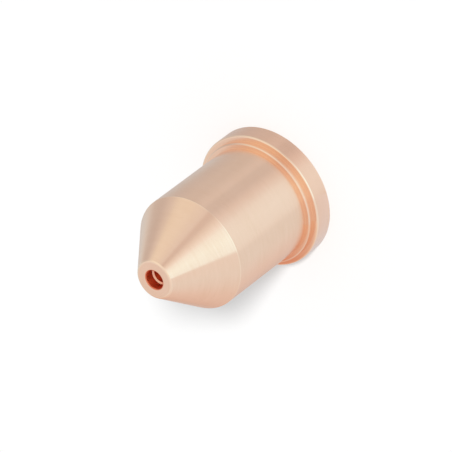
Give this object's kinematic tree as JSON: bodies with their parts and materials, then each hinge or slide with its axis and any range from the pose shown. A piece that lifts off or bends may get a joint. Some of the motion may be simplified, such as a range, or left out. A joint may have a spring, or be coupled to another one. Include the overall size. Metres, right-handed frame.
{
  "type": "plasma torch nozzle",
  "caption": "Turned copper plasma torch nozzle with a round flange, a plain body, a conical nose and a stepped exit hole.",
  "frame": {"origin": "middle of the flange's back face, on the turning axis", "axes": "+Z along the turning axis from the flange to the nose, X and Y in the back face"},
  "size_m": [0.019, 0.019, 0.0258],
  "materials": {
    "copper": "satin turned copper"
  },
  "bodies": {
    "root": {"nozzle": "copper"}
  },
  "joints": []
}
